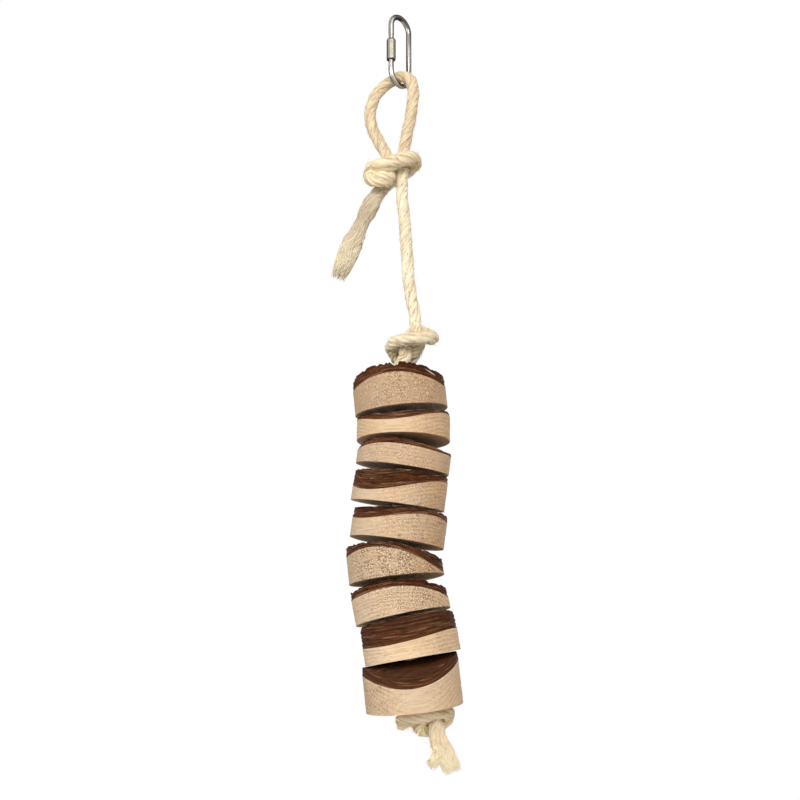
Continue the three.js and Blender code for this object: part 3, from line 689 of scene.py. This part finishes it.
def raw_wood():
    """Pale sawn wood: growth rings by distance from the pith, fibres drawn out along the log, dark and pale
    pores where the saw has cut across them, and fine saw marks round the plug. Painted side light makes each
    plug warmer and darker on its right and cooler on its left, and painted shade darkens the sawn face
    below."""
    material, paint = new_paint("raw_wood")
    grain = attribute(paint, "grain", "Vector")
    disc = attribute(paint, "disc", "Vector")
    ring, tone, across, pores, painted_side_light, ruddy, sawn_face_shade = (attribute(paint, name) for name in (
        "ring", "tone", "across_grain", "pores", "painted_side_light", "ruddy", "sawn_face_shade"))
    mottle = noise(grain, (28, 55, 55), 3.0)
    rings = noise(grain, (6, 60, 60), 3.0, 0.6) * 2.4 + ring * 0.55
    lines = noise(grain, (20, 1300, 1300), 3.0, 0.6)
    specks = noise(grain, (600, 1400, 2200), 1.0)
    dashes = noise(grain, (120, 360, 1900))
    clumps = noise(grain, (90, 160, 210))
    marks = noise(disc, (22, 22, 1500), 3.0, 0.6)
    knots = span(noise(grain, (60, 150, 150), 1.0), 0.76, 0.81)
    bands = paint.node("ShaderNodeMath", {"operation": "FRACT"}, {0: rings})
    late = span(bands, 0.35, 0.86) * span(bands, 1.0, 0.9)
    rows = span(bands, 0.05, 0.4) * span(bands, 1.0, 0.7)
    cut_across = span(across, 0.25, 0.8, 0.25, 1.0)
    pores = pores * cut_across * span(clumps, 0.3, 0.64, 0.28, 1.0) * (0.35 + rows * 0.65)
    dark_pores = span(specks, 0.51, 0.62) * pores
    pale_pores = span(specks, 0.48, 0.37) * pores
    base = coats(
        (0.5, 0.368, 0.248),
        (tone, (0.84, 0.632, 0.41)),
        (span(mottle, 0.42, 0.72) * 0.6, (0.66, 0.425, 0.24)),
        (span(mottle, 0.48, 0.25) * 0.55, (0.68, 0.555, 0.43)),
        (pores * 0.48, (0.56, 0.36, 0.225)),
        (late * span(across, 0.1, 0.8, 0.08, 0.42), (0.42, 0.25, 0.14)),
        (span(dashes, 0.63, 0.72) * cut_across * 0.5, (0.34, 0.195, 0.105)),
        (span(dashes, 0.42, 0.3) * cut_across * 0.3, (0.84, 0.68, 0.49)),
        (span(lines, 0.5, 0.72) * span(across, 0.9, 0.3, 0.2, 0.55), (0.4, 0.24, 0.13)),
        (span(lines, 0.48, 0.3) * span(across, 0.9, 0.3, 0.1, 0.4), (0.83, 0.66, 0.47)),
        (span(marks, 0.56, 0.74) * 0.32, (0.4, 0.255, 0.15)),
        (span(marks, 0.44, 0.28) * 0.25, (0.8, 0.64, 0.46)),
        (dark_pores * 0.75, (0.27, 0.13, 0.065)),
        (pale_pores * 0.7, (0.93, 0.8, 0.62)),
        # Painted side light: warmer and darker to the right of each plug, cooler to the left.
        (span(painted_side_light, 0.5, 1.0), (0.96, 0.875, 0.775), "MULTIPLY"),
        (span(painted_side_light, 0.5, 0.0), (0.94, 0.97, 1.0), "MULTIPLY"),
        (ruddy, (0.93, 0.87, 0.79), "MULTIPLY"),
        # Painted shade on the sawn face below.
        (sawn_face_shade, (0.94, 0.87, 0.8), "MULTIPLY"),
        (knots * 0.6, (0.17, 0.08, 0.035)))
    height = lines * 0.4 + marks * 0.4 - dark_pores * 0.9 + pale_pores * 0.5 - late * 0.2
    seal(paint, base, span(lines, 0.2, 0.8, 0.62, 0.84), height, 0.0003, 0.75,
         **{"Specular IOR Level": 0.25})
    return material


def rows_at(around, *values):
    """Rows of a grid, each holding one value all round."""
    return np.array(values)[:, None] + 0 * around


def wood_plug(one, number, material):
    """A drilled disc whose top follows the log. Rows of points run round the section of the disc:
    out over the sawn face, round the edge, up the side, in over the top and down the bore."""
    around = full_turn(WOOD_SIDES)
    seed = WOOD_SEED + number
    face_out = rows_at(around, BORE_RADIUS, 8.0, 12.0, 16.0, 19.0, 21.5, 22.8, 23.35)
    face_up = FACE_RIPPLE * ripple(seed, face_out * np.cos(around) * 1.6, face_out * np.sin(around) * 0.3)
    face_up = (face_up - face_up.min()) * (1 - (face_out / FACE_EDGE) ** 6)
    side_up = 0.1 + np.linspace(0, 1, 16)[:, None] * (wood_top(one, SLICE_RADIUS, around) - 0.2)
    side_out = SLICE_RADIUS - SIDE_RIPPLE + SIDE_RIPPLE * ripple(seed + 9, around * 14, side_up * 1.3)
    inward = rows_at(around, 23.6, 22.0, 18.0, 13.0, 9.0, BORE_RADIUS)
    bore_up = np.array([0.75, 0.5, 0.25])[:, None] * wood_top(one, BORE_RADIUS, around)
    out = np.concatenate([face_out, rows_at(around, 23.75, 23.92), side_out, inward,
                          BORE_RADIUS + 0 * bore_up])
    up = np.concatenate([face_up, rows_at(around, 0.0, 0.03), side_up,
                         wood_top(one, inward, around), bore_up])
    along, across = log_ways(one, out, around)
    height, radius, offset = one["wood"]
    ring = np.hypot(across - offset, up - height + radius)
    turn = np.arctan2(across - offset, up - height + radius) * radius
    local = ring_points(out, around, up)
    facing = np.clip(0.5 + 0.6 * np.cos(around - np.radians(one["rough_side"])), 0, 1)
    carried = {
        "grain": points_from(along + 61.0 * number, turn + 23.0 * number, ring) * MM,
        "disc": local * MM + (0.0, 0.0, 0.05 * number),
        "across_grain": np.abs(along / out),
        "ring": ring + 0.37 * number,
        "tone": one["tone"],
        # Painted side light, rising to the right of the plug by the slice's strength.
        "painted_side_light": 0.5 + 0.5 * one["painted_side_light"] * np.cos(around),
        # Painted shade on the sawn face.
        "sawn_face_shade": out < FACE_EDGE,
        "ruddy": one["ruddy"],
        "pores": one["pores"] * (0.3 + 0.7 * facing ** 1.5),
    }
    quads = grid_quads(*out.shape, round_rows=True)
    piece = put_mesh(f"wood_plug_{number}", set_on_rope(one, local), quads[:, ::-1], material, carried)
    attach(piece, f"slice_{number}")
    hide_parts(f"slice_{number}_wood")


wood_finish = raw_wood()
for number, one in enumerate(SLICES, 1):
    wood_plug(one, number, wood_finish)


# Bark
# The log's own bark, left on each plug. A brown fibrous inner layer lies on the wood, and a darker,
# furrowed, chipped outer layer lies on that. The saw has cut both flush with the wood below.

BARK_LEAST = 0.8
BARK_GAP = 0.05
BARK_SIDES = 300
BARK_SEED = 70
PLATE_PITCH = 5.6
FURROW_DEPTH = 1.1
CRACK_PITCH = 11.0
FINE_DEPTH, CHIP_LEAST, CHIP_DEPTH = 0.22, 0.12, 0.8
RIM_FROM, RIM_WIDTH = 21.0, 3.0
NOTCH_FROM, NOTCH_RUN = 14.0, 8.0
# Notches in the rim, by slice: angle, half the width and depth.
NOTCHES = {
    1: [(252, 3, 1.6), (190, 9, 1.4)], 2: [(200, 8, 0.6)], 3: [(196, 8, 1.0), (345, 9, 1.0)],
    4: [(318, 2.5, 1.6), (186, 10, 1.2)], 5: [(188, 7, 1.2)],
    6: [(208, 4, 2.6), (322, 3, 1.6), (336, 3, 1.8)], 7: [(318, 6, 2.6), (196, 8, 1.6), (211, 3, 1.4)],
    8: [(186, 8, 0.8)], 9: [],
}
# Grooves along the log, by slice: place across it, half the width and depth.
GROOVES = {1: [(0.4, 2.6, 2.6)]}
# Smooth bark that stands proud of its crown, and calm colour, by slice.
PROUD = {9: 0.7}
CALM = {8: 0.3, 9: 0.6}
# A pale streak across one slice's bark: the slice, and the angle and half width of the streak in degrees.
STREAK_SLICE, STREAK_ANGLE, STREAK_HALF = 1, 314.0, 9.0


def rough_bark():
    """Dark furrowed bark outside and brown fibrous bast inside, in layers along the log. The furrows are
    darkened as painted shade, and the bark darkens towards its top, partly crust and partly painted shadow
    from the slice above.
    """
    material, paint = new_paint("rough_bark")
    place = attribute(paint, "bark_place", "Vector")
    depth, furrow, pale_streak, calm = (attribute(paint, name) for name in ("bark_depth", "furrow", "pale_streak", "calm"))
    layers = noise(place, (70, 60, 1300), 4.0, 0.65, 0.1)
    streaks = noise(place, (30, 800, 1200), 4.0, 0.65)
    crumbs = noise(place, (500, 900, 900), 3.0, 0.6)
    patches = noise(place, (50, 120, 170), 3.0)
    seams = noise(place, (38, 38, 760), 3.0, 0.6, 0.2)
    hairs = noise(place, (34, 34, 1500), 2.0, 0.5, 0.2)
    pits = noise(place, (260, 260, 900), 1.0)
    outer = span(depth + (patches - 0.5) * 0.8, 0.14, 0.42)
    # Darker towards the top of the bark: partly crust, partly painted shadow from the slice above.
    top_crust_and_shadow = span(depth + (layers - 0.5) * 0.9, 0.5, 1.0)
    seam = span(seams, 0.455, 0.5) * span(seams, 0.545, 0.5)
    hair = span(hairs, 0.57, 0.61) * span(hairs, 0.66, 0.62)
    bast = coats((0.085, 0.0265, 0.0095), (span(layers, 0.34, 0.68), (0.188, 0.066, 0.0235)))
    crust = coats(
        (0.053, 0.0165, 0.007),
        (span(streaks, 0.36, 0.64), (0.143, 0.0455, 0.0175)),
        (span(patches, 0.46, 0.66) * 0.6, (0.172, 0.055, 0.0195)),
        (span(patches, 0.46, 0.3) * 0.5, (0.041, 0.013, 0.006)))
    base = coats(
        bast,
        (outer, crust),
        (span(layers, 0.42, 0.28) * 0.35, (0.026, 0.0095, 0.0055)),
        # Painted shade in the furrows.
        (span(furrow, 0.2, 0.85) * 0.8, (0.012, 0.006, 0.004)),
        (span(layers, 0.64, 0.72) * 0.4, (0.34, 0.148, 0.062)),
        (top_crust_and_shadow * 0.5, (0.03, 0.0115, 0.0065)),
        (calm, (0.092, 0.0355, 0.0165)),
        (seam * (0.55 - calm * 0.4), (0.014, 0.0055, 0.0035)),
        (hair * (0.65 - calm * 0.6), (0.45, 0.26, 0.145)),
        (span(pits, 0.68, 0.74) * (0.8 - calm * 0.6), (0.008, 0.004, 0.003)),
        (span(crumbs, 0.66, 0.76) * 0.3, (0.265, 0.114, 0.048)),
        (span(crumbs, 0.34, 0.24) * 0.6, (0.018, 0.007, 0.004)),
        # A pale streak across part of one slice's bark.
        (pale_streak, (0.8, 0.64, 0.48)))
    rough = span(streaks, 0.3, 0.7, 0.6, 0.85)
    height = (streaks * 0.8 + layers * 1.1 - seam * 0.5) * (1.0 - calm * 0.7) + crumbs * 0.5 - furrow * 0.3
    seal(paint, base, rough, height, 0.0009, 1.0,
         **{"Specular IOR Level": 0.13, "Specular Tint": (1.0, 0.66, 0.45, 1.0)})
    return material


def bark_layer(one, number, material):
    """A ring of bark on the wood's top. Its outside is the log's crown less furrows that wander along
    the log, cross cracks, a chipped edge and a few notches. Rows run round the section of the ring."""
    around = full_turn(BARK_SIDES)
    seed = BARK_SEED + number

    def under(out):
        return wood_top(one, out, around) + BARK_GAP

    def cut(out):
        """Depth cut from the crown: sharp furrows between flat plates, cracks, chips and notches."""
        along, across = log_ways(one, out, around)
        wander = across + 1.3 * np.sin(0.12 * along + seed) + 2.6 * ripple(seed, along * 0.13, across * 0.16)
        furrow = (1 - np.abs(np.sin(np.pi * wander / PLATE_PITCH + seed))) ** 3
        row = np.floor(wander / PLATE_PITCH + seed / np.pi)
        crack = np.pi * along / CRACK_PITCH + 2.4 * row + ripple(seed + 3, across * 0.8)
        crack = (1 - np.abs(np.sin(crack))) ** 8
        fine = np.clip(0.4 + 0.6 * ripple(seed + 5, along * 1.1, across * 2.6), 0, 1)
        rim = np.clip((out - RIM_FROM) / RIM_WIDTH, 0, 1) ** 2
        chip = ripple(seed + 6, around * 9.0) + 0.35 * ripple(seed + 7, around * 31.0)
        depth = FURROW_DEPTH * (furrow + 0.5 * crack) + FINE_DEPTH * fine
        depth = depth + rim * (CHIP_LEAST + CHIP_DEPTH * np.clip(chip - 0.15, 0, 2))
        for middle, half, deep in NOTCHES[number]:
            aside = np.degrees(np.angle(np.exp(1j * (around - np.radians(middle)))))
            inner = np.clip((out - NOTCH_FROM) / NOTCH_RUN, 0, 1)
            depth = depth + deep * np.exp(-((aside / half) ** 2)) * inner
        for middle, half, deep in GROOVES.get(number, []):
            depth = depth + deep * np.clip(1 - np.abs(across - middle) / half, 0, 1) * (along < 9.0)
        if number in PROUD:
            depth = depth * 0.03 - PROUD[number] * (1 - 0.5 * np.clip(along / SLICE_RADIUS, 0, 1))
        return depth, furrow + 0.6 * crack

    def top(out):
        return np.maximum(log_top(one, "bark", out, around) - cut(out)[0], under(out) + BARK_LEAST * 0.8)

    below = rows_at(around, BORE_RADIUS, 10.0, 16.0, 21.0, 23.6)
    rise = np.linspace(0, 1, 26)[:, None]
    low, high = under(SLICE_RADIUS), top(SLICE_RADIUS - 0.4)
    side_up = low + rise * (high - low) * 0.985
    layer = side_up - low
    bite = (0.3 + 0.2 * rise + 0.26 * ripple(seed + 1, around * 7, layer * 2.4)
            + 0.14 * ripple(seed + 2, around * 23, layer * 4.5))
    side_out = SLICE_RADIUS - np.clip(bite, 0.03, 1.0) * np.clip(layer / 0.5, 0.15, 1)
    inward = rows_at(around, 23.35, 23.0, *np.linspace(22.5, BORE_RADIUS, 40))
    bore_low, bore_high = under(BORE_RADIUS), top(BORE_RADIUS)
    bore_up = bore_low + np.array([0.7, 0.35])[:, None] * (bore_high - bore_low)
    out = np.concatenate([below, side_out, inward, BORE_RADIUS + 0 * bore_up])
    up = np.concatenate([under(below), side_up, top(inward), bore_up])
    furrow = np.concatenate([0 * below, 0 * side_out, cut(inward)[1], 0 * bore_up])
    along, across = log_ways(one, out, around)
    thick = np.maximum(log_top(one, "bark", out, around) - under(out), BARK_LEAST)
    depth = np.clip((up - under(out)) / thick, 0, 1)
    outside = len(below) + len(side_out)
    depth[outside:outside + len(inward)] += 0.25
    pale_streak = 0.0
    # A pale streak across the bark of one slice, partway up its side.
    if number == STREAK_SLICE:
        turned = np.degrees(around) - STREAK_ANGLE
        pale_streak = np.clip(1.2 - (turned / STREAK_HALF) ** 2 - ((depth - 0.55 + turned * 0.012) / 0.09) ** 2, 0, 1)
    place = points_from(along + 47.0 * number, across, up - crown(one["wood"], across))
    carried = {"bark_place": place * MM, "bark_depth": depth, "furrow": furrow, "pale_streak": pale_streak,
               "calm": CALM.get(number, 0.0)}
    local = ring_points(out, around, up)
    quads = grid_quads(*out.shape, round_rows=True)
    piece = put_mesh(f"bark_{number}", set_on_rope(one, local), quads[:, ::-1], material, carried)
    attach(piece, f"slice_{number}")
    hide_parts(f"slice_{number}_bark")


bark_finish = rough_bark()
for number, one in enumerate(SLICES, 1):
    bark_layer(one, number, bark_finish)


# Strung rope with its two stopper knots
# The rest of the rope, tied in an overhand knot above the slices, threaded down through their bores
# and tied in a flat overhand knot below. Its cut end has flared and split in two.

KNOT_SQUEEZE = 0.86
KNOT_GAP = 0.3
NECK_ROUTE = [(8, -1.1, -175, 0.72)]
STOPPER_CENTRE = (6.0, 0.0, -187.4)
STOPPER_LEAN = math.radians(14.0)
# The upper knot in widths of the rope: distance from its axis, angle, height and thickness.
STOPPER_TURNS = [
    (0.3, -75, 1.35, 1.06), (0.56, -30, 0.7, 1.12), (0.57, 20, 0, 1.2), (0.6, 62, -0.7, 1.24),
    (0.8, 88, -1.14, 1.2), (1.16, 112, -1.29, 1.22), (1.5, 136, -1.1, 1.2), (1.66, 168, -0.7, 1.12),
    (1.68, 218, -0.35, 1.06), (1.68, 272, 0.08, 1), (1.68, 327, 0.7, 1.02), (1.66, 376, 1.25, 1.08),
    (1.5, 408, 1.6, 1.04), (1.16, 432, 1.68, 1.06), (0.8, 456, 1.34, 1.12), (0.6, 482, 0.72, 1.2),
    (0.57, 524, 0, 1.22), (0.56, 570, -0.7, 1.16), (0.34, 590, -1.3, 1.06),
]
CORE_ASIDE = (0.0, 1.3, 0.0)
FOOT_OPEN = ([0, 16, 26], [1, 1, 0])
STOPPER_FREE, FOOT_FREE = -189.0, -6.0
FOOT_ROUTE = [
    (-0.3, 0.7, -1.9, 0.92), (-1.5, 2, -4.5, 0.98), (-3.6, 2.2, -6.4, 1.04), (-5.7, 0.4, -7.1, 1.1),
    (-6, -2.8, -6.7, 1.12), (-3.6, -6.2, -5.7, 1.12), (0.6, -8, -4.5, 1.04), (5.4, -8.4, -3.6, 0.96),
    (10.6, -7.8, -2.9, 0.88), (14.8, -5.2, -2.7, 0.92), (16.4, -0.6, -3.1, 1.04), (15.2, 3.2, -5.3, 1.12),
    (11.6, 5, -7.7, 1.15), (7.4, 4.6, -9.5, 1.15), (3.6, 2.4, -10.3, 1.15), (2, -0.6, -8.9, 1.1),
    (3.2, -2.5, -6, 1.04), (5.1, -2.4, -4, 0.98), (7.1, -2, -2.9, 0.94), (9, -1.9, -3.6, 0.98),
    (10.1, -2.2, -5.9, 1.08), (10.5, -2.8, -9.1, 1.2), (10.9, -3.3, -12.9, 1.26),
    (11.7, -3.3, -16.4, 1.36), (13.4, -3, -19.8, 1.5), (15.2, -2.6, -22.8, 1.42),
    (16.6, -2.4, -25.6, 1.15), (17.6, -2.3, -28, 0.75),
]
FOOT_FRAY = [
    (11.5, -3.3, -15.6, 1.3), (13.4, -3, -19.8, 1.5), (15.4, -2.6, -23.4, 1.5), (17, -2.4, -26.8, 1.4),
    (18.4, -2.2, -31, 1.25),
]
FOOT_WISP = [
    (12.6, -3.8, -18.6, 1.2), (11.3, -4.2, -22.2, 1.1), (9.4, -4.2, -25.2, 0.9), (6.6, -3.9, -28, 0.95),
]


def bore_spot(one, height):
    """A point on the bore's axis at a height over the sawn face."""
    return set_on_rope(one, np.array([[0.0, 0.0, height]]))[0]


def from_foot(rows):
    """Rows of a route moved from the foot of the lowest bore to the frame."""
    return [(*(foot + row[:3]), row[3]) for row in rows]


out, turn, up, thick = np.array(STOPPER_TURNS, dtype=float).T
knot = ring_points(out, np.radians(turn), up) * (2 * ROPE_RADIUS * KNOT_SQUEEZE + KNOT_GAP)
knot = points_from(knot[:, 0] * math.cos(STOPPER_LEAN) + knot[:, 2] * math.sin(STOPPER_LEAN), knot[:, 1],
                   knot[:, 2] * math.cos(STOPPER_LEAN) - knot[:, 0] * math.sin(STOPPER_LEAN))
rows = NECK_ROUTE + [(*spot, wide) for spot, wide in zip(knot + STOPPER_CENTRE, thick)]
for number, one in enumerate(SLICES):
    tall = crown(one["bark"], 0.0)
    mouth = bore_spot(one, tall)
    if number:
        mouth = (mouth + bore_spot(SLICES[number - 1], 0.0)) / 2
    rows += [(*mouth, 1.0), (*(bore_spot(one, tall / 2) + CORE_ASIDE), 1.0)]
foot = bore_spot(SLICES[-1], 0.0)
points, thick, run = smooth_route(rows + [(*foot, 1.0)] + from_foot(FOOT_ROUTE), ROPE_STEP)
strung_rope, _ = laid_rope("strung_rope", points, thick, run, sisal_finish,
                           np.interp(run[-1] - run, *FOOT_OPEN), rope_so_far, crest)
free = (points[:, 2] > STOPPER_FREE) | (points[:, 2] < foot[2] + FOOT_FREE)
strung_fibres = stray_fibres("strung_rope_fibres", points, thick, 1200, 5, sisal_finish, free)
foot_fray = frayed_end("foot_fray", from_foot(FOOT_FRAY), 460, 11, sisal_finish, 0.5)
foot_wisp = frayed_end("foot_wisp", from_foot(FOOT_WISP), 240, 13, sisal_finish, 0.05)
for piece in (strung_rope, strung_fibres, foot_fray, foot_wisp):
    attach(piece, "stack")
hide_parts("top_stopper_knot", "core_rope", "bottom_stopper_knot", "bottom_tail")


# Floor, light and camera
# A pale studio floor well under the hanging toy, a white surround, four soft lamps and a camera that
# looks up at the toy from the front.

CAMERA_AT = (0.0, -0.630, -0.3648)
CAMERA_PITCH = 13.2
LENS, SENSOR_WIDTH = 56.25, 36.0
FLOOR_HEIGHT = -700.0
FLOOR_RADIUS = 1800.0
FLOOR_SIDES, FLOOR_RINGS = 96, 12


def floor_disc(material):
    """A flat disc: rings of points at even steps out from a small middle ring."""
    out = np.linspace(2.0, FLOOR_RADIUS, FLOOR_RINGS)[:, None]
    points = ring_points(out, full_turn(FLOOR_SIDES), FLOOR_HEIGHT)
    faces = grid_quads(FLOOR_RINGS, FLOOR_SIDES)[:, ::-1].tolist() + [list(range(FLOOR_SIDES))]
    return put_mesh("studio_floor", points, faces, material)


floor_material, paint = new_paint("studio_floor")
grit = noise(paint.node("ShaderNodeTexCoord", out="Object"), (900.0, 900.0, 900.0), 3.0)
looked_at = paint.node("ShaderNodeLightPath", None, None, "Is Camera Ray")
pale = coats((0.7, 0.7, 0.7), (grit, (0.76, 0.76, 0.76)))
seal(paint, coats((0.48, 0.45, 0.41), (looked_at, pale)), span(grit, 0.3, 0.7, 0.85, 0.95))
floor_disc(floor_material)

world = bpy.data.worlds.new("white_surround")
bpy.context.scene.world = world
world.use_nodes = True
world.node_tree.nodes.clear()
paint = Paint(world.node_tree)
seen, shown, through = (paint.node("ShaderNodeLightPath", None, None, f"Is {kind} Ray")
                        for kind in ("Camera", "Glossy", "Transmission"))
bright = paint.node("ShaderNodeMath", {"operation": "ADD", "use_clamp": True}, {0: seen + shown, 1: through})
surround = paint.node("ShaderNodeBackground", None,
                      {"Color": (1.0, 1.0, 1.0, 1.0), "Strength": 0.5 + bright * 0.5})
paint.node("ShaderNodeOutputWorld", None, {"Surface": surround})


def soft_lamp(name, place, aim, size, power, tint, beam=180.0):
    """A square area lamp at a place, turned to face a point, with its beam held to an angle."""
    lamp = bpy.data.lights.new(name, "AREA")
    lamp.size = size
    lamp.energy = power
    lamp.color = tint
    lamp.spread = math.radians(beam)
    holder = bpy.data.objects.new(name, lamp)
    bpy.context.scene.collection.objects.link(holder)
    x, y, z = unit(np.array(aim) - np.array(place))
    holder.location = place
    holder.rotation_euler = (math.acos(-z), 0.0, math.atan2(x, -y) + math.pi)


soft_lamp("key_lamp", (0.05, -1.25, 0.25), (0.0, 0.0, -0.27), 0.6, 12.5, (1.0, 0.97, 0.93))
soft_lamp("fill_lamp", (-1.0, -0.7, -0.2), (0.0, 0.0, -0.28), 0.9, 4.5, (0.94, 0.97, 1.0))
soft_lamp("back_lamp", (0.35, 1.2, 0.05), (0.0, 0.0, -0.27), 0.8, 5.0, (1.0, 0.98, 0.95))
soft_lamp("foot_lamp", (0.12, -0.55, -0.6), (0.012, 0.0, -0.419), 0.05, 0.007, (1.0, 0.9, 0.76), 12.0)

camera = bpy.data.objects.new("camera", bpy.data.cameras.new("camera"))
bpy.context.scene.collection.objects.link(camera)
camera.data.sensor_width = SENSOR_WIDTH
camera.data.lens = LENS
camera.location = CAMERA_AT
camera.rotation_euler = (math.radians(90.0 + CAMERA_PITCH), 0.0, 0.0)
bpy.context.scene.camera = camera
bpy.context.scene.view_settings.view_transform = "Standard"
